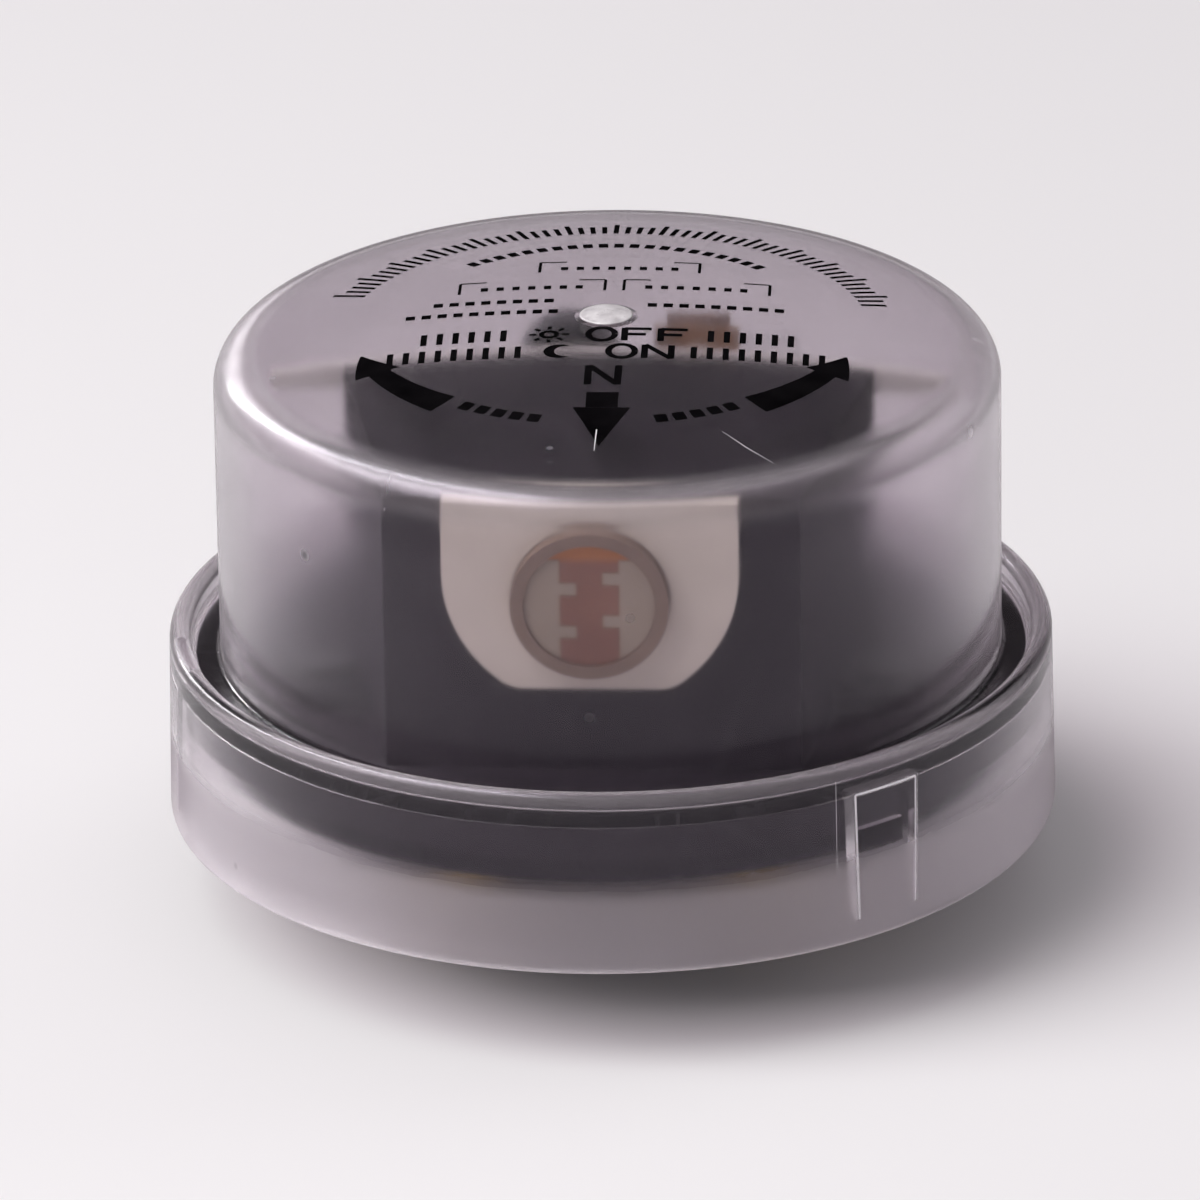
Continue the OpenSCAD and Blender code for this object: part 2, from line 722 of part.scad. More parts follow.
// U-shaped bracket that carries the bimetal arm
module arm_bracket() {
    color([0.8, 0.65, 0.35]) difference() {
        strip_x(switch_x, bracket_w) {
            translate([board_back, z_arm]) square([bracket_t, bracket_foot]);
            translate([board_back, z_arm]) square([arm_gap, bracket_t]);
            translate([arm_front - bracket_t, z_arm]) square([bracket_t, lap_h]);
        }
        bracket_rivet_holes();
    }
}

// Strip that bends away from the fixed contact as the heater warms it
module bimetal_arm() {
    color([0.62, 0.42, 0.28]) difference() {
        translate([switch_x - arm_w / 2, arm_front, z_arm]) cube([arm_w, arm_t, z_top - z_arm]);
        pin_y([switch_x, arm_front - 1, contact_z], arm_t + 2, contact_d / 4 + 0.05);
    }
}

module moving_contact() {
    color([0.82, 0.82, 0.8]) union() {
        pin_y([switch_x, arm_front - contact_h, contact_z], contact_h, contact_d / 2);
        pin_y([switch_x, arm_front - eps, contact_z], arm_t + 2 * eps, contact_d / 4);
        pin_y([switch_x, arm_back, contact_z], 0.4, contact_d / 3);
    }
}

// Z-shaped bracket that holds the fixed contact in front of the arm
module contact_bracket() {
    color([0.8, 0.65, 0.35]) difference() {
        strip_x(switch_x, bracket_w) {
            translate([board_back, contact_shelf - contact_foot]) square([bracket_t, contact_foot + bracket_t]);
            translate([board_back, contact_shelf]) square([contact_tab - board_back, bracket_t]);
            translate([contact_tab - bracket_t, contact_shelf])
                square([bracket_t, z_top - contact_shelf - 0.2]);
        }
        bracket_rivet_holes();
        pin_y([switch_x, contact_tab - bracket_t - 1, contact_z], bracket_t + 2, contact_d / 4 + 0.05);
    }
}

module fixed_contact() {
    color([0.82, 0.82, 0.8]) union() {
        pin_y([switch_x, contact_tab, contact_z], contact_h, contact_d / 2);
        pin_y([switch_x, contact_tab - bracket_t - eps, contact_z], bracket_t + 2 * eps, contact_d / 4);
        pin_y([switch_x, contact_tab - bracket_t - 0.4, contact_z], 0.4, contact_d / 3);
    }
}

// Ceramic heater behind the arm, with an end cap at each end
module heater() {
    cap = 2;
    color([0.86, 0.84, 0.78]) translate([switch_x, heater_y, heater_z]) union() {
        cylinder(h = heater_l, d = heater_d - 0.6);
        for (z = [0, heater_l - cap]) translate([0, 0, z]) cylinder(h = cap, d = heater_d);
    }
}

module heater_leads() {
    low = z_arm - lead_step;
    high = heater_z + heater_l + lead_loop;
    at = eyelet_heater;
    tail = board_back - board_t / 2 + 0.1;
    color([0.75, 0.75, 0.75]) {
        wire([
            [switch_x, heater_y, heater_z], [switch_x, heater_y, low],
            [switch_x, board_back + lead_run, low], [switch_x, board_back + lead_run, z_arm]
        ], lead_r);
        wire([
            [switch_x, heater_y, heater_z + heater_l], [switch_x, heater_y, high], [at[0], heater_y, high],
            [at[0], board_back + lead_back, at[2]], [at[0], tail, at[2]]
        ], lead_r);
    }
}

module surge_arrester() {
    color([0.12, 0.14, 0.2])
        pin_y([arrester_x, arrester_y - arrester_t / 2, arrester_z], arrester_t, arrester_d / 2);
}

// Leads from the arrester to the line bracket and to the neutral foot
module arrester_leads() {
    spread = arrester_d / 4;
    rim_z = arrester_z - sqrt(pow(arrester_d / 2, 2) - pow(spread - lead_r, 2)) - 0.05;
    bend_z = z_arm + bracket_foot + lead_loop;
    edge = switch_x - bracket_w / 2;
    edge_y = board_back + bracket_t / 2;
    edge_z = z_arm + bracket_foot - lead_loop;
    foot = on_base(rivet_r, neutral_turn, -lead_bend, z_foot);
    color([0.75, 0.75, 0.75]) {
        wire([
            [arrester_x + spread, arrester_y, rim_z], [arrester_x + spread, arrester_y, bend_z],
            [edge - lead_loop, edge_y, edge_z], [edge, edge_y, edge_z]
        ], lead_r);
        wire([
            [arrester_x - spread, arrester_y, rim_z], [arrester_x - spread, arrester_y, bend_z],
            [foot[0], foot[1], z_foot + lead_bend], foot
        ], lead_r);
    }
}

// Holes in the board for the line and load wires
line_hole = [switch_x - bracket_w / 2 - wire_side, 0, z_arm + wire_up];
load_hole = [switch_x + bracket_w / 2 + wire_side, 0, contact_rivet_z];
wire_shift = rivet_head_d / 2 + wire_r + 0.1;
wire_back = board_back + wire_r + 0.05;

module line_wire() {
    foot = on_base(rivet_r, line_turn, -wire_shift, z_foot);
    color([0.07, 0.07, 0.07]) wire([
        foot, [foot[0], foot[1], line_hole[2]],
        [line_hole[0], chassis_rear - lead_bend, line_hole[2]], [line_hole[0], wire_back, line_hole[2]],
        [switch_x - bracket_w / 2, wire_back, line_hole[2]]
    ], wire_r);
}

module load_wire() {
    foot = on_base(rivet_r, load_turn, wire_shift, z_foot);
    color([0.6, 0.08, 0.07]) wire([
        foot, [foot[0], foot[1], load_hole[2] - 8],
        [load_hole[0], chassis_rear - lead_bend, load_hole[2]], [load_hole[0], wire_back, load_hole[2]],
        [switch_x + bracket_w / 2, wire_back, load_hole[2]]
    ], wire_r);
}

module neutral_wire() {
    foot = on_base(rivet_r, neutral_turn, wire_shift, z_foot);
    at = eyelet_neutral;
    color([0.85, 0.84, 0.8]) wire([
        [at[0], board_back + eyelet_flange, at[2]], [at[0], board_back + lead_run, at[2]],
        [foot[0] - 3, foot[1] - 4, z_foot + 6], [foot[0], foot[1], z_foot + 3], foot
    ], wire_r);
}

cover();
base();
gasket();
line_blade();
load_blade();
neutral_blade();
blade_rivets();
chassis();
chassis_screws();
cell_holder();
cell_body();
cell_track();
cell_electrodes();
cell_leads();
switch_board();
board_screws();
board_eyelets();
arm_bracket();
bimetal_arm();
moving_contact();
contact_bracket();
fixed_contact();
bracket_rivets();
heater();
heater_leads();
surge_arrester();
arrester_leads();
line_wire();
load_wire();
neutral_wire();
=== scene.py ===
# %% [markdown]
# A photocell switch turns a street light on at dusk. It locks into a round socket by three blades,
# and a smoked cover lets daylight reach the cell inside. The solids come packed from the CAD model,
# so this file only dresses them: materials, print on the cover, small details, light and camera.

# %% Load the frame
import math
import bpy
import numpy as np
from mathutils import Matrix, Vector


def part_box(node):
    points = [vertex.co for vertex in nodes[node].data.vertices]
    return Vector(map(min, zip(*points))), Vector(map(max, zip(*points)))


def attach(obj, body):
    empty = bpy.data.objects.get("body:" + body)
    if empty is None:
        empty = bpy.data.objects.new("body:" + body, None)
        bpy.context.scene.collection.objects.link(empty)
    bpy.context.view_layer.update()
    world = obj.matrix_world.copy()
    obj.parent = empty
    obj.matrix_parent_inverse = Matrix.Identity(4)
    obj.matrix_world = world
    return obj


MM = 0.001
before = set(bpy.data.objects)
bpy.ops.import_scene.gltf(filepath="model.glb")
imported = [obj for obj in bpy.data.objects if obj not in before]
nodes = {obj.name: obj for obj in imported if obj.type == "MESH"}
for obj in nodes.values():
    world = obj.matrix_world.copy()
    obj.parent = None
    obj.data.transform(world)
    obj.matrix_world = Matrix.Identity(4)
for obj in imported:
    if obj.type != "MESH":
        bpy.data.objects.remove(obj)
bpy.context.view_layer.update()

# %% [markdown]
# The camera could be placed by eye. Here it follows a measurement: the ellipses of the cover's rims
# give a long lens about 1.2 m away, 23 degrees above the floor and very slightly tilted. The object
# is turned a little to the left, so the camera walks round it by a small angle instead.

# %% Camera
camera_distance = 1.2
camera_height_angle = math.radians(23.3)
camera_walk = math.radians(3.4)
camera_tilt = math.radians(-0.86)
aim_shift = -0.99 * MM
aim_height = 29.2 * MM
focal_pixels = 12616
frame_pixels = 1200
sensor_width = 36

across = Vector((math.cos(camera_walk), math.sin(camera_walk), 0))
back = Vector((math.sin(camera_walk) * math.cos(camera_height_angle),
               -math.cos(camera_walk) * math.cos(camera_height_angle),
               math.sin(camera_height_angle)))
upward = back.cross(across)
right = across * math.cos(camera_tilt) + upward * math.sin(camera_tilt)
top = upward * math.cos(camera_tilt) - across * math.sin(camera_tilt)
eye = across * aim_shift + Vector((0, 0, aim_height)) + back * camera_distance
lens = bpy.data.cameras.new("studio_camera")
lens.sensor_width = sensor_width
lens.lens = focal_pixels / frame_pixels * sensor_width
lens.clip_end = 20
camera = bpy.data.objects.new("studio_camera", lens)
camera.matrix_world = Matrix((
    (right.x, top.x, back.x, eye.x),
    (right.y, top.y, back.y, eye.y),
    (right.z, top.z, back.z, eye.z),
    (0, 0, 0, 1)))
bpy.context.collection.objects.link(camera)
bpy.context.scene.camera = camera
print("lens", round(lens.lens, 1), "mm at", [round(x, 3) for x in eye])

# %% [markdown]
# Every new piece here is a grid of points worked out with numpy, so a few helpers turn such grids
# into a mesh. Rows and columns become quads, the columns can be closed into a ring, and several
# strips can share one mesh.

# %% Grid helpers
def grid_faces(rows, columns, wrap_columns=False, first=0):
    """Quads between neighbouring points of a grid: point (i, j) has the index i * columns + j."""
    i = np.arange(rows - 1)
    j = np.arange(columns if wrap_columns else columns - 1)
    i, j = [a.ravel() for a in np.meshgrid(i, j, indexing="ij")]
    here, below, j2 = i * columns, (i + 1) * columns, (j + 1) % columns
    return first + np.stack([here + j, below + j, below + j2, here + j2], 1)


def joined(strips):
    """Several grids of points as one mesh: the points follow each other in one list, and the quads
    of each grid count on from where the grid before it ended."""
    points = np.concatenate([strip.reshape(-1, 3) for strip in strips])
    starts = np.cumsum([0] + [strip.shape[0] * strip.shape[1] for strip in strips[:-1]])
    faces = [grid_faces(*strip.shape[:2], first=first) for strip, first in zip(strips, starts)]
    return points, np.concatenate(faces)


def add_piece(name, points, faces, material, body):
    """A smooth mesh object from points, faces and a material, riding on one CAD body."""
    mesh = bpy.data.meshes.new(name)
    mesh.from_pydata(points.reshape(-1, 3).tolist(), [], list(faces))
    mesh.polygons.foreach_set("use_smooth", np.full(len(mesh.polygons), True))
    mesh.update()
    piece = bpy.data.objects.new(name, mesh)
    bpy.context.collection.objects.link(piece)
    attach(piece, body)
    mesh.materials.append(material)
    print(name, len(mesh.vertices), "points", len(mesh.polygons), "faces")


print("a grid of 3 by 4 points has", len(grid_faces(3, 4)), "quads")

# %% [markdown]
# The floor is a plain pale sheet. It could be an infinite white, but a real surface keeps the soft
# shadow that shows the cover is lifted on its blades. It is wide enough to fill the view behind.

# %% Floor
floor_half = 4
floor_lines = 5


def floor_sheet(half, lines):
    """A level square: x and y run evenly from -half to half, and z is zero."""
    line = np.linspace(-half, half, lines)
    x, y = np.meshgrid(line, line, indexing="ij")
    return np.stack([x, y, np.zeros_like(x)], -1)


floor_mesh = bpy.data.meshes.new("floor")
floor_mesh.from_pydata(floor_sheet(floor_half, floor_lines).reshape(-1, 3).tolist(), [],
                       grid_faces(floor_lines, floor_lines).tolist())
floor = bpy.data.objects.new("floor", floor_mesh)
bpy.context.collection.objects.link(floor)
paper = bpy.data.materials.new("floor_paper")
paper.use_nodes = True
paper_inputs = paper.node_tree.nodes["Principled BSDF"].inputs
paper_inputs["Base Color"].default_value = (0.86, 0.845, 0.86, 1)
paper_inputs["Roughness"].default_value = 0.6
paper_inputs["Specular IOR Level"].default_value = 0.0
floor_mesh.materials.append(paper)
print("floor", [round(x, 2) for x in floor.dimensions])

# %% [markdown]
# Materials and the world are built from shader nodes. Two helpers keep that short: one makes an
# empty group with named sockets, the other puts a node into a tree with its values and links.

# %% Node helpers
def new_group(name, inputs, outputs):
    """An empty shader group with named inputs (name, type, value) and outputs (name, type)."""
    group = bpy.data.node_groups.new(name, "ShaderNodeTree")
    for label, kind, value in inputs:
        socket = group.interface.new_socket(label, in_out="INPUT", socket_type=kind)
        if value is not None:
            socket.default_value = value
    for label, kind in outputs:
        group.interface.new_socket(label, in_out="OUTPUT", socket_type=kind)
    print("group", group.name)
    return group, group.nodes.new("NodeGroupInput"), group.nodes.new("NodeGroupOutput")


def put(tree, kind, values=None, **settings):
    """A node with its settings, and its inputs set to values or linked to sockets."""
    node = tree.nodes.new(kind)
    for key, value in settings.items():
        setattr(node, key, value)
    for key, value in (values or {}).items():
        if isinstance(value, bpy.types.NodeSocket):
            tree.links.new(value, node.inputs[key])
        else:
            node.inputs[key].default_value = value
    return node


print("node helpers:", new_group.__name__, "and", put.__name__)

# %% [markdown]
# Light comes from one large soft lamp, high on the left and a little in front, so the shadow falls
# to the right and stays soft. A small lamp would draw a hard edge. Two weak lamps open up the
# front and the right. A long strip runs from above the front to low on the left, and lights gloss
# alone: rounded edges mirror it as one long glint.

# %% Lamps
cover_middle = Vector((0, 0, 30 * MM))


def soft_lamp(name, ends, width, watts, colour=(1, 1, 1)):
    """A flat lamp between two end points, that faces the object: its long side runs from one end to
    the other, and its own Z axis points away from the middle of the cover."""
    one_end, other_end = Vector(ends[0]), Vector(ends[1])
    middle, long_way = (one_end + other_end) / 2, other_end - one_end
    data = bpy.data.lights.new(name, "AREA")
    data.shape = "RECTANGLE"
    data.size, data.size_y = long_way.length, width
    data.energy = watts
    data.color = colour
    lamp = bpy.data.objects.new(name, data)
    away = (middle - cover_middle).normalized()
    long_way = (long_way - away * long_way.dot(away)).normalized()
    turn = Matrix((long_way, away.cross(long_way), away)).transposed().to_4x4()
    lamp.matrix_world = Matrix.Translation(middle) @ turn
    bpy.context.collection.objects.link(lamp)
    print("lamp", name, watts, "W")
    return lamp


soft_lamp("key_lamp", ((-0.6, -0.66, 0.99), (-0.6, 0.14, 0.99)), width=0.8, watts=13.2,
          colour=(1, 0.99, 0.98))
soft_lamp("front_lamp", ((-0.3, -1.4, 0.75), (0.5, -1.4, 0.75)), width=0.8, watts=1.9)
soft_lamp("side_lamp", ((0.95, 0.25, 0.6), (0.95, 0.95, 0.6)), width=0.7, watts=1.7)
glint = soft_lamp("glint_strip", ((-0.12, -0.42, 1.06), (-0.85, 0.95, 0.35)), width=0.14,
                  watts=16.5)
glint.visible_diffuse = False

# %% [markdown]
# Clear plastic mirrors the room as well, so the world isn't one even tone: it glows low down and
# overhead and is dim between, where the crown would mirror it.

# %% World
world = bpy.data.worlds.new("studio")
world.use_nodes = True
room = world.node_tree
sky = room.nodes["Background"]
direction = put(room, "ShaderNodeTexCoord").outputs["Generated"]
rise = put(room, "ShaderNodeSeparateXYZ", {"Vector": direction}).outputs["Z"]
low_glow = put(room, "ShaderNodeMapRange", {
    "Value": rise, "From Min": 0.08, "From Max": 0.32, "To Min": 0.4, "To Max": 0.05})
ceiling = put(room, "ShaderNodeMapRange", {
    "Value": rise, "From Min": 0.7, "From Max": 0.92, "To Min": 0.0, "To Max": 0.6})
glow = put(room, "ShaderNodeMath", {
    0: low_glow.outputs["Result"], 1: ceiling.outputs["Result"]}, operation="ADD")
room.links.new(glow.outputs["Value"], sky.inputs["Strength"])
sky.inputs["Color"].default_value = (0.97, 0.91, 0.96, 1)
bpy.context.scene.world = world
bpy.context.scene.view_settings.view_transform = "Standard"
print("world", world.name, "with", len(room.nodes), "nodes")

# %% [markdown]
# Moulded and rolled surfaces are never one even colour. Three node groups give the unevenness, and
# the materials below place them with their own values: a soft mottle, fine scratches, and specks of
# dust. A group is built once, so a change to it reaches every finish.

# %% Mottle group
FLOAT, VECTOR = "NodeSocketFloat", "NodeSocketVector"
mottle, mottle_in, mottle_out = new_group(
    "mottle",
    [("Place", VECTOR, None), ("Patch Scale", FLOAT, 120.0), ("Grain Scale", FLOAT, 1800.0)],
    [("Patches", FLOAT), ("Grain", FLOAT)])
for output, detail in (("Patches", 3.0), ("Grain", 2.0)):
    scale = mottle_in.outputs["Patch Scale" if output == "Patches" else "Grain Scale"]
    noise = put(mottle, "ShaderNodeTexNoise", {
        "Vector": mottle_in.outputs["Place"], "Scale": scale, "Detail": detail})
    mottle.links.new(noise.outputs["Fac"], mottle_out.inputs[output])

# %% Scratch group
scratches, scratch_in, scratch_out = new_group(
    "fine_scratches",
    [("Place", VECTOR, None), ("Scale", FLOAT, 60.0), ("Amount", FLOAT, 0.5)],
    [("Lines", FLOAT)])
line_width = 0.012


def scratch_set(turn, stretch):
    """Thin lines: the edges of long stretched cells, kept only where a slow noise is high."""
    place = put(scratches, "ShaderNodeMapping", {
        "Vector": scratch_in.outputs["Place"], "Rotation": turn, "Scale": stretch})
    cells = put(scratches, "ShaderNodeTexVoronoi", {
        "Vector": place.outputs["Vector"], "Scale": scratch_in.outputs["Scale"]},
        feature="DISTANCE_TO_EDGE")
    line = put(scratches, "ShaderNodeMapRange", {
        "Value": cells.outputs["Distance"], "From Min": 0.0, "From Max": line_width,
        "To Min": 1.0, "To Max": 0.0})
    where = put(scratches, "ShaderNodeTexNoise", {
        "Vector": scratch_in.outputs["Place"], "Scale": scratch_in.outputs["Scale"], "Detail": 1.0})
    keep = put(scratches, "ShaderNodeMapRange", {
        "Value": where.outputs["Fac"], "From Min": 0.56, "From Max": 0.64})
    return put(scratches, "ShaderNodeMath", {0: line.outputs["Result"], 1: keep.outputs["Result"]},
               operation="MULTIPLY").outputs["Value"]


both = put(scratches, "ShaderNodeMath", {
    0: scratch_set((0.3, 0.2, 0.5), (1, 0.12, 0.5)),
    1: scratch_set((1.1, 0.6, 2.1), (0.12, 1, 0.6))}, operation="MAXIMUM")
amount = put(scratches, "ShaderNodeMath", {
    0: both.outputs["Value"], 1: scratch_in.outputs["Amount"]}, operation="MULTIPLY")
scratches.links.new(amount.outputs["Value"], scratch_out.inputs["Lines"])

# %% Speck group
specks, speck_in, speck_out = new_group(
    "dust_specks",
    [("Place", VECTOR, None), ("Scale", FLOAT, 300.0), ("Share", FLOAT, 0.08)],
    [("Specks", FLOAT)])
cells = put(specks, "ShaderNodeTexVoronoi", {
    "Vector": speck_in.outputs["Place"], "Scale": speck_in.outputs["Scale"]})
dot = put(specks, "ShaderNodeMapRange", {
    "Value": cells.outputs["Distance"], "From Min": 0.05, "From Max": 0.16,
    "To Min": 1.0, "To Max": 0.0})
pick = put(specks, "ShaderNodeSeparateColor", {"Color": cells.outputs["Color"]})
chosen = put(specks, "ShaderNodeMath", {
    0: pick.outputs["Red"], 1: speck_in.outputs["Share"]}, operation="LESS_THAN")
shown = put(specks, "ShaderNodeMath", {
    0: dot.outputs["Result"], 1: chosen.outputs["Value"]}, operation="MULTIPLY")
specks.links.new(shown.outputs["Value"], speck_out.inputs["Specks"])

# %% [markdown]
# Most pieces take the same recipe with their own values: two close shades mixed by the mottle, a
# roughness that wanders a little, faint scratches that catch the light, and a shallow bump. The
# recipe is one function, and each finish is one call to it.

# %% Finish recipe
def place_group(tree, group, place, values):
    """A group in a material, fed with Object coordinates and its own values."""
    node = put(tree, "ShaderNodeGroup", node_tree=group)
    tree.links.new(place, node.inputs["Place"])
    for key, value in values.items():
        node.inputs[key].default_value = value
    return node


def mixed(tree, factor, first, second):
    """A colour between two others; the first is a colour or a socket, the second a colour."""
    if not isinstance(first, bpy.types.NodeSocket):
        first = (*first, 1)
    return put(tree, "ShaderNodeMix", {"Factor": factor, "A": first, "B": (*second, 1)},
               data_type="RGBA").outputs["Result"]


def shades(tree, mask, dark, light):
    """A colour that runs between two shades as the mask runs from 0.3 to 0.7."""
    spread = put(tree, "ShaderNodeMapRange", {"Value": mask, "From Min": 0.3, "From Max": 0.7})
    return mixed(tree, spread.outputs["Result"], dark, light)


def finish(name, dark, light, rough, metal=0.0, patch=120.0, grain=1800.0, bump=0.04 * MM,
           scratch=0.3, stretch=(1, 1, 1), specular=0.5):
    """A Principled material from the mottle and the scratches; rough is a pair, smooth to dull."""
    material = bpy.data.materials.new(name)
    material.use_nodes = True
    tree = material.node_tree
    surface = tree.nodes["Principled BSDF"].inputs
    place = put(tree, "ShaderNodeTexCoord").outputs["Object"]
    place = put(tree, "ShaderNodeMapping", {"Vector": place, "Scale": stretch}).outputs["Vector"]
    uneven = place_group(tree, mottle, place, {"Patch Scale": patch, "Grain Scale": grain})
    lines = place_group(tree, scratches, place, {"Scale": patch, "Amount": scratch})
    tint = shades(tree, uneven.outputs["Patches"], dark, light)
    tree.links.new(tint, surface["Base Color"])
    dull = put(tree, "ShaderNodeMapRange", {
        "Value": uneven.outputs["Grain"], "From Min": 0.25, "From Max": 0.75,
        "To Min": rough[0], "To Max": rough[1]})
    dull = put(tree, "ShaderNodeMath", {
        0: dull.outputs["Result"], 1: lines.outputs["Lines"]}, operation="ADD")
    tree.links.new(dull.outputs["Value"], surface["Roughness"])
    relief = put(tree, "ShaderNodeBump", {
        "Strength": 0.6, "Distance": bump, "Height": uneven.outputs["Grain"]})
    tree.links.new(relief.outputs["Normal"], surface["Normal"])
    surface["Metallic"].default_value = metal
    surface["Specular IOR Level"].default_value = specular
    return material


def dress(material, *names):
    """The material goes on these CAD nodes, in place of what they came with."""
    for name in names:
        mesh = nodes[name].data
        mesh.materials.clear()
        mesh.materials.append(material)
    print(material.name, "on", ", ".join(names))


dress(finish("black_phenolic", (0.01, 0.008, 0.011), (0.018, 0.015, 0.02), (0.4, 0.55),
             specular=0.15), "base")

# %% [markdown]
# Each piece gets the finish of its own material: matt rubber and fibre, satin mouldings, dull
# ceramic and epoxy. The dark ones hardly mirror, because through a smoked wall a gloss is lost.

# %% Mouldings, rubber and ceramics
dress(finish("gasket_foam", (0.008, 0.007, 0.009), (0.018, 0.016, 0.02), (0.8, 0.95),
             grain=2600.0, bump=0.2 * MM, scratch=0.0, specular=0.15), "gasket")
dress(finish("black_moulding", (0.006, 0.005, 0.008), (0.012, 0.009, 0.014), (0.5, 0.65),
             specular=0.1), "chassis")
dress(finish("white_moulding", (0.76, 0.73, 0.62), (0.85, 0.815, 0.7), (0.5, 0.6),
             specular=0.2), "cell_holder")
dress(finish("board_fibre", (0.82, 0.8, 0.76), (0.9, 0.88, 0.84), (0.5, 0.65)), "switch_board")
dress(finish("heater_ceramic", (0.66, 0.62, 0.53), (0.76, 0.72, 0.63), (0.55, 0.7)), "heater")
dress(finish("arrester_epoxy", (0.008, 0.008, 0.011), (0.016, 0.016, 0.021), (0.45, 0.6),
             specular=0.2), "surge_arrester")
dress(finish("wire_black", (0.012, 0.012, 0.012), (0.02, 0.02, 0.02), (0.4, 0.5)), "line_wire")
dress(finish("wire_red", (0.3, 0.018, 0.014), (0.4, 0.03, 0.022), (0.4, 0.5)), "load_wire")
dress(finish("wire_white", (0.62, 0.6, 0.55), (0.72, 0.7, 0.65), (0.4, 0.5)), "neutral_wire")

# %% [markdown]
# The metals differ in tone and gloss: drawn brass blades, browned brackets and bimetal, zinc on
# screws and rivets, bright tin on wires. The blades' pattern is stretched along their length, as
# rolling leaves it.

# %% Metals
dress(finish("blade_brass", (0.6, 0.44, 0.18), (0.72, 0.55, 0.26), (0.26, 0.36), metal=1.0,
             scratch=0.1, stretch=(1, 1, 0.2)), "line_blade", "load_blade", "neutral_blade")
dress(finish("bracket_brass", (0.3, 0.17, 0.09), (0.42, 0.25, 0.14), (0.35, 0.5), metal=1.0),
      "arm_bracket", "contact_bracket", "board_eyelets")
dress(finish("zinc_plate", (0.5, 0.5, 0.47), (0.66, 0.66, 0.63), (0.28, 0.42), metal=1.0),
      "blade_rivets", "board_screws", "bracket_rivets")
dress(finish("black_oxide", (0.012, 0.012, 0.013), (0.03, 0.03, 0.032), (0.35, 0.5), metal=0.6),
      "chassis_screws")
dress(finish("tinned_wire", (0.55, 0.55, 0.56), (0.7, 0.7, 0.7), (0.22, 0.36), metal=1.0),
      "cell_leads", "heater_leads", "arrester_leads")
dress(finish("bimetal_strip", (0.24, 0.14, 0.1), (0.34, 0.21, 0.15), (0.35, 0.5), metal=1.0),
      "bimetal_arm")
dress(finish("contact_silver", (0.7, 0.69, 0.66), (0.82, 0.81, 0.78), (0.15, 0.28), metal=1.0),
      "moving_contact", "fixed_contact")

# %% [markdown]
# The light cell is a ceramic disc with metal patches and a brown film between them. A narrow band
# at the top of the film is painted brighter: a painted highlight for the glint the cell shows there.
# A second piece could show it, but the film is one sheet, so the recipe's colour is mixed with a
# warmer one there.

# %% Light cell
dress(finish("cell_rim_ceramic", (0.23, 0.17, 0.125), (0.29, 0.22, 0.165), (0.4, 0.5),
             specular=0.3), "cell_body")
dress(finish("cell_film_metal", (0.36, 0.31, 0.235), (0.44, 0.385, 0.3), (0.4, 0.5), metal=0.2,
             specular=0.3), "cell_electrodes")
film = finish("cell_film_brown", (0.24, 0.115, 0.075), (0.31, 0.155, 0.1), (0.35, 0.45),
              specular=0.3)
film_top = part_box("cell_track")[1][2]
tree = film.node_tree
place = put(tree, "ShaderNodeTexCoord").outputs["Object"]
# painted highlight: a narrow band at the top of the film turns brighter and warmer
glint_band = put(tree, "ShaderNodeMapRange", {
    "Value": put(tree, "ShaderNodeSeparateXYZ", {"Vector": place}).outputs["Z"],
    "From Min": film_top - 1.8 * MM, "From Max": film_top - 1.0 * MM})
film_colour = tree.nodes["Principled BSDF"].inputs["Base Color"]
glint_colour = mixed(tree, glint_band.outputs["Result"], film_colour.links[0].from_socket, (0.5, 0.2, 0.06))
tree.links.new(glint_colour, film_colour)
dress(film, "cell_track")

# %% [markdown]
# The cover is smoked plastic: clear enough to show the cell, but with a milky haze. It isn't the
# same all over, so soft steps by height and by distance from the axis mark its zones: a frosted
# foot, a softer wall below the rounded top edge, and a lip. One material with zones has no seams,
# as several would have. First come its tint and its gloss.

# %% Cover zones
smoke = bpy.data.materials.new("smoked_plastic")
smoke.use_nodes = True
tree = smoke.node_tree
clear = tree.nodes["Principled BSDF"]
place = put(tree, "ShaderNodeTexCoord").outputs["Object"]
level = put(tree, "ShaderNodeSeparateXYZ", {"Vector": place}).outputs["Z"]
flat = put(tree, "ShaderNodeVectorMath", {0: place, 1: (1, 1, 0)}, operation="MULTIPLY")
reach = put(tree, "ShaderNodeVectorMath", {0: flat.outputs["Vector"]}, operation="LENGTH")
reach = reach.outputs["Value"]
foot_zone = (15.8, 18.8)
softer_zone = (46.0, 53.0)


def ramp(value, zone, low, high):
    """A soft step: low below the zone in mm, high above it, with an S-shaped rise between."""
    return put(tree, "ShaderNodeMapRange", {
        "Value": value, "From Min": zone[0] * MM, "From Max": zone[1] * MM,
        "To Min": low, "To Max": high}, interpolation_type="SMOOTHSTEP").outputs["Result"]


def chain(operation, *terms):
    """The terms added or multiplied together, one after the other."""
    total = terms[0]
    for term in terms[1:]:
        total = put(tree, "ShaderNodeMath", {0: total, 1: term}, operation=operation)
        total = total.outputs["Value"]
    return total


print("cover zones in mm: foot", foot_zone, "softer wall up to", softer_zone)

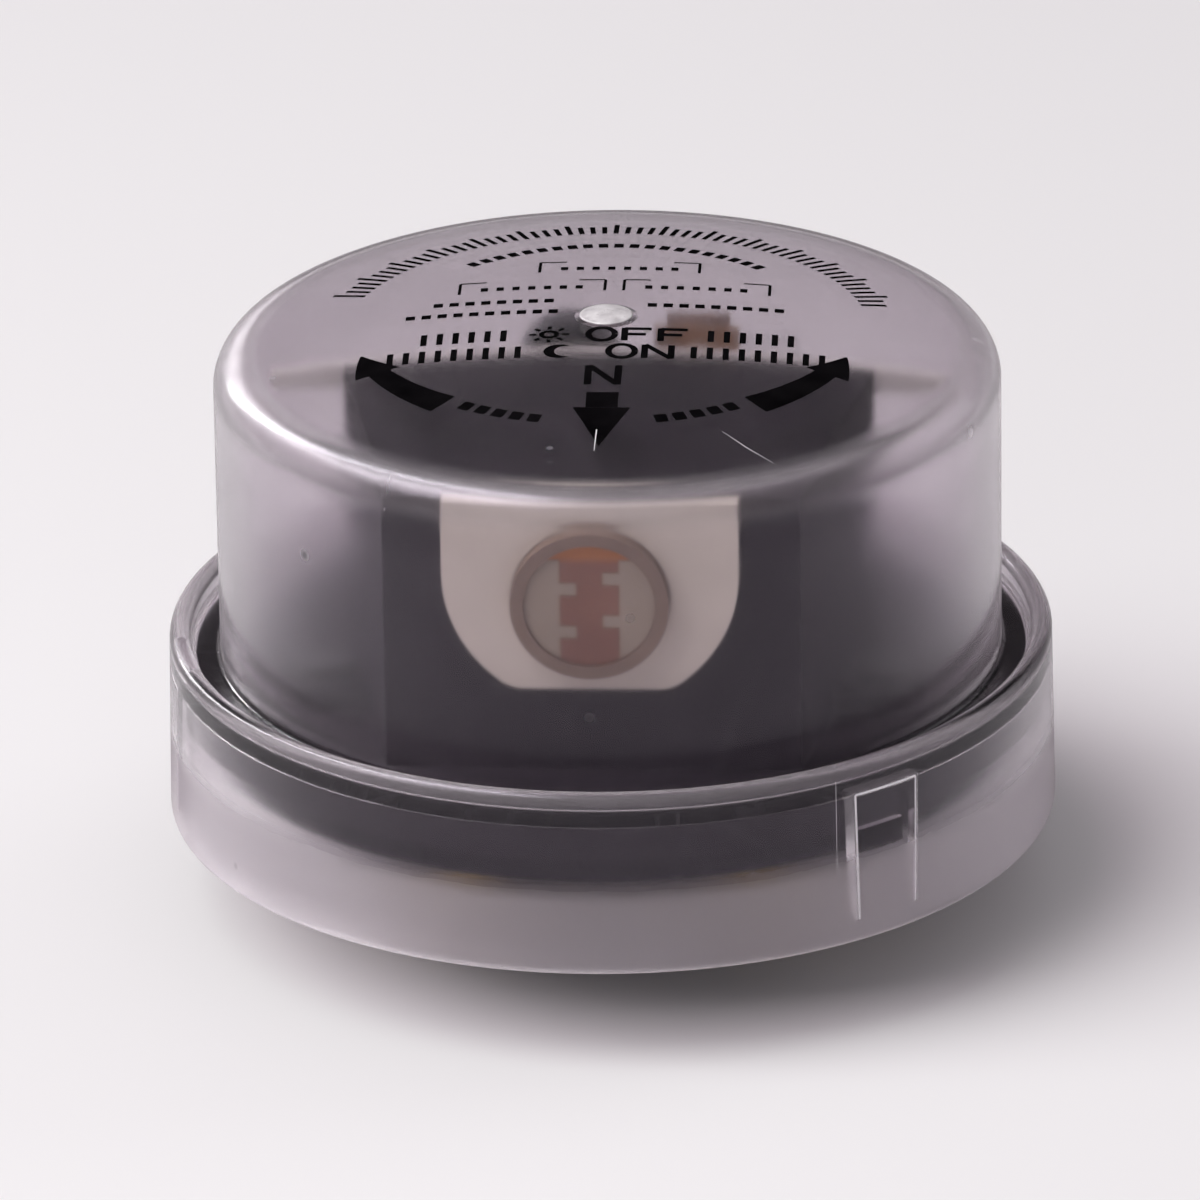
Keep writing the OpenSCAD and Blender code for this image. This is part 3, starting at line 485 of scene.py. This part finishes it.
# %% Cover tint and gloss
uneven = place_group(tree, mottle, place, {"Patch Scale": 45.0, "Grain Scale": 420.0})
lines = place_group(tree, scratches, place, {"Scale": 34.0, "Amount": 0.035})
dust = place_group(tree, specks, place, {"Scale": 260.0, "Share": 0.02})
tint = shades(tree, uneven.outputs["Patches"], (0.77, 0.72, 0.765), (0.835, 0.785, 0.83))
tint = mixed(tree, dust.outputs["Specks"], tint, (0.3, 0.28, 0.3))
tree.links.new(tint, clear.inputs["Base Color"])
grain = put(tree, "ShaderNodeMapRange", {
    "Value": uneven.outputs["Grain"], "To Min": 0.08, "To Max": 0.15})
soft_edge = chain("MULTIPLY", ramp(level, (50.0, 52.0), 0, 0.12), ramp(reach, (32.5, 33.5), 0, 1))
dull = chain("ADD", grain.outputs["Result"], lines.outputs["Lines"], dust.outputs["Specks"],
             ramp(level, foot_zone, 0.35, 0.0), ramp(level, softer_zone, 0.09, 0.0), soft_edge)
tree.links.new(dull, clear.inputs["Roughness"])
clear.inputs["IOR"].default_value = 1.49
clear.inputs["Transmission Weight"].default_value = 1.0
clear.inputs["Specular Tint"].default_value = (0.6, 0.55, 0.63, 1)
print("tint and gloss:", len(tree.nodes), "nodes")

# %% [markdown]
# Glass alone would look too clean, so part of the surface scatters light instead of bending it:
# more where the wall is seen edge-on and the way through it is long, at the foot, and on the rounded
# top edge and lip. Lamp light passes straight through a clear shader, because bent light would reach
# the inside only as noise.

# %% Cover haze
haze_front = put(tree, "ShaderNodeBsdfDiffuse", {"Color": (0.62, 0.58, 0.61, 1)})
haze_through = put(tree, "ShaderNodeBsdfTranslucent", {"Color": (0.72, 0.68, 0.71, 1)})
haze = put(tree, "ShaderNodeMixShader", {
    "Fac": 0.5, 1: haze_front.outputs["BSDF"], 2: haze_through.outputs["BSDF"]})
facing = put(tree, "ShaderNodeLayerWeight", {"Blend": 0.5}).outputs["Facing"]
edge_on = put(tree, "ShaderNodeMath", {0: facing, 1: 6.5}, operation="POWER").outputs["Value"]
foot = ramp(level, foot_zone, 0.2, 0.003)
top_edge = chain("MULTIPLY", ramp(level, (51.2, 52.6), 0, 0.1), ramp(reach, (33.0, 34.2), 0, 1))
lip = chain("MULTIPLY", ramp(level, (26.0, 26.7), 0.04, 0.3), ramp(reach, (41.35, 41.7), 0, 1),
            ramp(level, (24.2, 25.2), 0, 1))
milky = chain("ADD", chain("MULTIPLY", edge_on, 0.6), foot, top_edge, lip)
plastic = put(tree, "ShaderNodeMixShader", {
    "Fac": milky, 1: clear.outputs["BSDF"], 2: haze.outputs["Shader"]})
light_path = put(tree, "ShaderNodeLightPath")
lamp_ray = put(tree, "ShaderNodeMath", {
    0: light_path.outputs["Is Shadow Ray"], 1: light_path.outputs["Is Diffuse Ray"]},
    operation="MAXIMUM")
let_through = put(tree, "ShaderNodeBsdfTransparent", {"Color": (0.84, 0.81, 0.83, 1)})
whole = put(tree, "ShaderNodeMixShader", {
    "Fac": lamp_ray.outputs["Value"], 1: plastic.outputs["Shader"], 2: let_through.outputs["BSDF"]})
tree.links.new(whole.outputs["Shader"], tree.nodes["Material Output"].inputs["Surface"])
dress(smoke, "cover")

# %% [markdown]
# Black marks are printed on top of the cover with a soft pad. They help to turn the cell to the
# north and to lock the switch in its socket. An image could carry them, but strokes stay sharp at
# any size. Each is a line on the plan, widened to both sides and laid on the domed crown just above
# the plastic.

# %% Strokes on the crown
crown_radius = 204 * MM
crown_top = 58.35 * MM
ink_lift = 0.03 * MM
stroke_step = 0.5 * MM
print_turn = math.radians(0.9)
print_matrix = np.array([[math.cos(print_turn), math.sin(print_turn)],
                         [-math.sin(print_turn), math.cos(print_turn)]])


def stroke(points, width, lift=ink_lift):
    """A ribbon on the crown: each point of the line is shifted left and right by half the width,
    square to the line, and lifted to the height of the sphere there. Points and width are in mm,
    and the width may change on the way."""
    points = np.asarray(points, float) * MM @ print_matrix
    along = np.concatenate([[0], np.cumsum(np.hypot(*np.diff(points, axis=0).T))])
    spots = np.linspace(0, along[-1], max(2, int(along[-1] / stroke_step) + 1))
    middle = np.stack([np.interp(spots, along, points[:, k]) for k in (0, 1)], 1)
    widths = np.interp(spots, np.linspace(0, along[-1], np.size(width)), np.ravel(width))
    way = np.gradient(middle, axis=0)
    way /= np.linalg.norm(way, axis=1)[:, None]
    side = np.stack([-way[:, 1], way[:, 0]], 1) * (widths * MM / 2)[:, None]
    flat = np.stack([middle - side, middle + side], 1)
    height = np.sqrt((crown_radius + lift) ** 2 - (flat ** 2).sum(-1)) + crown_top - crown_radius
    return np.concatenate([flat, height[..., None]], -1)


print("a stroke of 10 mm has", len(stroke([(0, 0), (10, 0)], 1)), "rows of points")

# %% Lines for the marks
def bow(radius, start, stop, count=40):
    """Points on a circle about the middle; turns are in degrees from the back, towards +X."""
    turn = np.radians(np.linspace(start, stop, count))
    return np.stack([radius * np.sin(turn), radius * np.cos(turn)], 1)


def spoke(turn, inner, outer):
    """A line that points to the middle, between two radii at one turn."""
    return np.concatenate([bow(inner, turn, turn, 1), bow(outer, turn, turn, 1)])


def unit_circle(start, stop, count):
    """Points at a distance of one from the origin, between two angles in half turns."""
    turn = np.linspace(start * np.pi, stop * np.pi, count)
    return np.stack([np.cos(turn), np.sin(turn)], 1)


def letter(kind, x, y, w, h):
    """Lines of a plain capital in a box whose lower left corner is at x, y."""
    if kind == "O":
        return [np.array([x + w / 2, y + h / 2]) + np.array([w / 2, h / 2]) * unit_circle(0, 2, 33)]
    lines = {"N": [(0, 0, 0, 1), (0, 1, 1, 0), (1, 0, 1, 1)],
             "F": [(0, 0, 0, 1), (0, 0.93, 1, 0.93), (0, 0.5, 0.8, 0.5)]}
    return [[(x + a * w, y + b * h), (x + c * w, y + d * h)] for a, b, c, d in lines[kind]]


print("the letter N has", len(letter("N", 0, 0, 1, 1)), "lines")

# %% [markdown]
# The marks are laid out in mm on the plan, with the front of the cover at negative y: an N over its
# arrow, a curved arrow with dashes on each side, a scale of ticks at the back, three frames and rows
# of dashes, and on and off marks with a sun and a moon between two rows of bars.

# %% Arrows and scale
marks = [stroke(line, 0.7) for line in letter("N", -1.2, -15.6, 2.8, 4.0)]
marks += [stroke([(0.3, -17.2), (0.3, -20.2)], 3.0),
          stroke([(0.3, -20.2), (0.3, -27.4)], [5.4, 0.1])]
for side in (-1, 1):
    marks += [stroke(bow(23.6, side * 142, side * 118), [3.4, 2.2]),
              stroke(bow(23.8, side * 118, side * 107), [4.6, 0.2])]
    marks += [stroke(bow(22.9, side * turn, side * (turn + 3)), 1.5)
              for turn in np.arange(146, 168, 4.4)]
marks += [stroke(spoke(turn, 24.7, 27.2 if turn % 10 else 28.0), 0.5)
          for turn in np.arange(-70, 76, 2.5)]
marks += [stroke(bow(20.3, turn, turn + 2.6, 5), 1.3) for turn in np.arange(-42, 43, 4.2)]
print("arrows and scale:", len(marks), "strokes")

# %% Frames and dashes
for x, w, y in ((-6.8, 15.2, 12.0), (-14.2, 13.8, 6.6), (1.4, 13.8, 6.6)):
    for k in (0, 1):
        corner = x + k * w
        marks += [stroke([(corner, y), (corner, y + 3)], 0.3),
                  stroke([(corner, y + 3), (corner + (0.5 - k) * 5, y + 3)], 0.3)]
    marks += [stroke([(x + 2 + k, y + 1), (x + 2.7 + k, y + 1)], 1.0)
              for k in np.arange(0, w - 4, 1.5)]
for x, w, y in ((-16.5, 12, 4.0), (-19, 14.5, 1.2), (3.8, 13, 2.8)):
    marks += [stroke([(x + k, y), (x + k + 0.9, y)], 1.0) for k in np.arange(0, w, 1.5)]
print("with frames and dashes:", len(marks), "strokes")

# %% On and off marks
for text, x, y in (("OFF", -1.5, -6.0), ("ON", 0.5, -9.9)):
    for k, kind in enumerate(text):
        marks += [stroke(line, 0.65) for line in letter(kind, x + k * 3.4, y, 2.5, 3.0)]
sun, moon = np.array([-5.2, -4.5]), np.array([-3.8, -8.4])
marks += [stroke(sun + 0.75 * unit_circle(0, 2, 25), 0.5)]
marks += [stroke([sun + 1.2 * ray, sun + 1.9 * ray], 0.4) for ray in unit_circle(0, 2, 9)]
moon_widths = np.sin(np.linspace(0, np.pi, 25)) + 0.05
marks += [stroke(moon + 1.3 * unit_circle(0.35, 1.65, 25), moon_widths)]
for x0, x1, y in ((-17, -8, -4.5), (10, 19, -4.5), (-20, -6.5, -8.4), (8.5, 21.5, -8.4)):
    marks += [stroke([(x, y - 1.3), (x, y + 1.3)], 0.6) for x in np.arange(x0, x1, 1.5)]
ink = finish("pad_print", (0.002, 0.0018, 0.0022), (0.005, 0.0045, 0.0052), (0.5, 0.7),
             patch=260.0, scratch=0.2, specular=0.0)
ink_points, ink_faces = joined(marks)
add_piece("top_print", ink_points, ink_faces.tolist(), ink, "housing")

# %% [markdown]
# Three snap tabs are cut into the skirt by a narrow slit. The cut faces are rough, so they scatter
# the light and read as fine white lines. An open gap in clear plastic would hardly show at this
# width, so a ribbon set just inside the slit gives that look.

# %% Slit edges
skirt_radius = 42 * MM
skirt_flare = 0.3 * MM
rim_z = 27.5 * MM
foot_z = 9.5 * MM
tab_turns = np.radians(40.5 + np.array([0, 120, 240]))
slit_width = 0.22 * MM
slit_top = 24.4 * MM
slit_foot = 11.8 * MM
tab_half_top = 3.56 * MM
tab_half_root = 3.31 * MM
slit_inset = 0.06 * MM
ribbon_rows = 12


def slit_ribbon(start, stop, turn, width=slit_width, inset=slit_inset):
    """A ribbon round the skirt: a straight line on the unrolled wall, widened to both sides and
    wrapped on the flared wall, a little inside its outer face."""
    start, stop = np.array(start), np.array(stop)
    share = np.linspace(0, 1, ribbon_rows)[:, None]
    line = start * (1 - share) + stop * share
    way = (stop - start) / np.linalg.norm(stop - start)
    side = np.array([-way[1], way[0]]) * width / 2
    flat = np.stack([line - side, line + side], 1)
    radius = skirt_radius + skirt_flare * (rim_z - flat[..., 1]) / (rim_z - foot_z) - inset
    angle = turn + flat[..., 0] / radius
    return np.stack([radius * np.sin(angle), -radius * np.cos(angle), flat[..., 1]], -1)


corners = [(-tab_half_root, slit_foot), (-tab_half_top, slit_top),
           (tab_half_top, slit_top), (tab_half_root, slit_foot)]
slit_points, slit_faces = joined(
    [slit_ribbon(a, b, turn) for turn in tab_turns for a, b in zip(corners, corners[1:])])
cut_plastic = finish("cut_plastic", (0.72, 0.69, 0.72), (0.85, 0.82, 0.85), (0.5, 0.7), patch=900.0)
add_piece("slit_edges", slit_points, slit_faces.tolist(), cut_plastic, "housing")

# %% [markdown]
# A cover that has been handled carries a few single hairlines, longer than the fine scratches in
# its material. A texture can't easily place single lines, so each is one thin ribbon: two lie on the
# crown, one runs up the skirt beside a tab.

# %% Hairlines
hair_lift = 0.05 * MM
hair_points, hair_faces = joined([
    stroke([(11.6, -24.2), (14.0, -27.0), (16.4, -29.3)], [0.03, 0.09, 0.03], hair_lift),
    stroke([(0.0, -24.5), (-0.1, -28.4)], [0.12, 0.06], hair_lift),
    slit_ribbon((0, 17.2 * MM), (0, 26.3 * MM), math.radians(32.7), 0.05 * MM, -0.02 * MM)])
add_piece("hairlines", hair_points, hair_faces.tolist(), cut_plastic, "housing")

# %% [markdown]
# The gate in the middle of the top, where the plastic entered the mould, has a cloudy scar. Its pale
# colour is partly that scar and partly a painted highlight on the gate's bump. It could be one more
# zone of the cover, but it has a sharp edge, so it is a shallow cap of the same curve as the gate
# mark, drawn as a surface of revolution.

# %% Gate scar
gate_curve = 9.25 * MM
gate_top = 58.83 * MM
scar_radius = 2.5 * MM
scar_pole = 0.05 * MM
scar_depth = 0.5 * MM
scar_lift = 0.02 * MM
scar_rows, scar_columns = 16, 48


def revolved(radii, heights, columns):
    """A surface of revolution about Z: each pair of radius and height sweeps one ring."""
    turn = np.linspace(0, 2 * np.pi, columns, endpoint=False)
    radii, heights = np.asarray(radii)[:, None], np.asarray(heights)[:, None]
    return np.stack([radii * np.cos(turn), radii * np.sin(turn), heights + 0 * turn], -1)


def revolved_faces(rows, columns, first=0):
    """Rings joined by quads, with one flat face to close each end."""
    rings = grid_faces(rows, columns, wrap_columns=True, first=first)[:, ::-1].tolist()
    low_ring = first + np.arange(columns)
    high_ring = low_ring + (rows - 1) * columns
    return rings + [low_ring.tolist()[::-1], high_ring.tolist()]


cap_reach = np.linspace(scar_radius, scar_pole, scar_rows - 2)
cap_drop = gate_curve - np.sqrt(gate_curve ** 2 - cap_reach ** 2)
scar_points = revolved(
    np.concatenate([[scar_pole, scar_radius], cap_reach]),
    np.concatenate([[gate_top - scar_depth] * 2, gate_top - cap_drop + scar_lift]), scar_columns)
# partly painted highlight: the cap is paler than the cover where the gate's bump shines
scar_highlight = finish("cloudy_scar_highlight", (0.5, 0.47, 0.49), (0.78, 0.75, 0.77), (0.25, 0.4),
                patch=700.0, grain=3000.0)
add_piece("gate_scar_highlight", scar_points, revolved_faces(scar_rows, scar_columns), scar_highlight,
          "housing")

# %% [markdown]
# The switch inside is seen faintly through the cover. The heater is a ceramic bobbin with a bare
# wire wound on it. Bump could hint at the turns, but they would have no outline, so a thin tube
# follows a helix round the body.

# %% Heater winding
heater_low, heater_high = [np.array(corner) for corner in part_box("heater")]
heater_middle = (heater_low + heater_high) / 2
wind_radius = (heater_high[0] - heater_low[0]) / 2 - 0.18 * MM
wind_wire = 0.16 * MM
wind_turns = 14
wind_half_height = 4.7 * MM
wind_sides = 8
steps_per_turn = 24


def wound_tube(middle, radius, half_height, turns, wire):
    """A tube on a helix: the centre runs round a circle as it climbs, and a small circle is drawn
    across it from the outward direction and from the up direction."""
    along = np.linspace(-1, 1, turns * steps_per_turn + 1)[:, None]
    turn = along * turns * np.pi
    out = np.stack([np.cos(turn), np.sin(turn), 0 * turn], -1)
    centre = middle + out * radius + np.stack([0 * turn, 0 * turn, along * half_height], -1)
    round_turn = np.linspace(0, 2 * np.pi, wind_sides, endpoint=False)[None, :, None]
    up = np.array([0, 0, 1.0])
    return centre + wire * (np.cos(round_turn) * out + np.sin(round_turn) * up)


winding_points = wound_tube(heater_middle, wind_radius, wind_half_height, wind_turns, wind_wire)
rows = len(winding_points)
first_ring = np.arange(wind_sides)
last_ring = (rows - 1) * wind_sides + first_ring
winding_faces = grid_faces(rows, wind_sides, wrap_columns=True).tolist()
winding_faces += [first_ring.tolist()[::-1], last_ring.tolist()]
bare_wire = finish("resistance_wire", (0.3, 0.27, 0.24), (0.42, 0.38, 0.33), (0.3, 0.45), metal=1.0)
add_piece("heater_winding", winding_points, winding_faces, bare_wire, "housing")

# %% [markdown]
# Wires and leads end in solder on the feet of the blades. A ball would look like glue. Solder wets
# the metal and climbs the wire, so each joint is a small cone with hollow flanks, a surface of
# revolution again.

# %% Solder
foot_top = 26.4 * MM
solder_rows, solder_columns = 14, 32
solder_pole = 0.02
solder_base = 0.05
solder_slope = 0.8
# x, y, reach at the foot and wire radius of each, in mm
solder_spots = [(-18.09, -6.865, 1.9, 0.9), (18.09, -6.865, 1.9, 0.9),
                (-3.1, 19.1, 1.9, 0.9), (4.0, 19.1, 1.2, 0.35)]


def solder_cone(x, y, reach, wire):
    """A cone with hollow flanks: the radius falls from its reach to the wire as the square of what
    is left of the way up, and both ends close on the axis."""
    share = np.linspace(0, 1, solder_rows - 2)
    flank = wire + (reach - wire) * (1 - share) ** 2
    radii = np.concatenate([[solder_pole], flank, [solder_pole]])
    rise = solder_base + share * reach * solder_slope
    heights = np.concatenate([[0], rise, rise[-1:]])
    return revolved(radii * MM, heights * MM, solder_columns) + np.array([x * MM, y * MM, foot_top])


solder_points = np.concatenate([solder_cone(*spot) for spot in solder_spots])
solder_faces = []
for k in range(len(solder_spots)):
    solder_faces += revolved_faces(solder_rows, solder_columns, k * solder_rows * solder_columns)
tin = finish("soft_solder", (0.55, 0.55, 0.56), (0.72, 0.72, 0.73), (0.18, 0.35), metal=1.0,
             patch=500.0)
add_piece("solder", solder_points, solder_faces, tin, "housing")

# %% [markdown]
# Screw heads get a driver slot. It could be cut, but the head is a CAD solid and stays whole, so the
# slot is a strip laid on it and painted dark, a painted shade that makes it look sunken, with ends
# that follow the round head.

# %% Driver slots
head_radius = 2.5 * MM
slot_reach = head_radius - 0.1 * MM
slot_half = 0.4 * MM
slot_lift = 0.015 * MM
slot_rows, slot_columns = 5, 9
lean = math.radians(25)


def driver_slot(middle, along_way, side_way, up_way):
    """A strip across a round head: its length shrinks with the circle as it widens sideways."""
    side = np.linspace(-slot_half, slot_half, slot_rows)[:, None, None]
    along = np.linspace(-1, 1, slot_columns)[None, :, None] * np.sqrt(slot_reach ** 2 - side ** 2)
    return middle + slot_lift * up_way + along * along_way + side * side_way


x_way, y_way, z_way = np.eye(3)
board_low, board_high = [np.array(corner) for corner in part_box("board_screws")]
chassis_low, chassis_high = [np.array(corner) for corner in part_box("chassis_screws")]
board_z = (board_low[2] + board_high[2]) / 2
chassis_y = (chassis_low[1] + chassis_high[1]) / 2
slots = []
for side in (-1, 1):
    at = np.array([side * (board_high[0] - head_radius), board_high[1], board_z])
    slots.append(driver_slot(at, math.cos(lean) * x_way + side * math.sin(lean) * z_way,
                             side * math.sin(lean) * x_way - math.cos(lean) * z_way, y_way))
    at = np.array([side * (chassis_high[0] - head_radius), chassis_y, chassis_high[2]])
    slots.append(driver_slot(at, math.cos(lean) * x_way + math.sin(lean) * y_way,
                             -math.sin(lean) * x_way + math.cos(lean) * y_way, z_way))
slot_points, slot_faces = joined(slots)
# painted shade: the near-black strip stands for the shade inside the sunken slot
slot_shade = finish("slot_shade", (0.006, 0.006, 0.007), (0.02, 0.02, 0.022), (0.6, 0.8),
                    patch=900.0)
add_piece("driver_slots", slot_points, slot_faces[:, ::-1].tolist(), slot_shade,
          "housing")
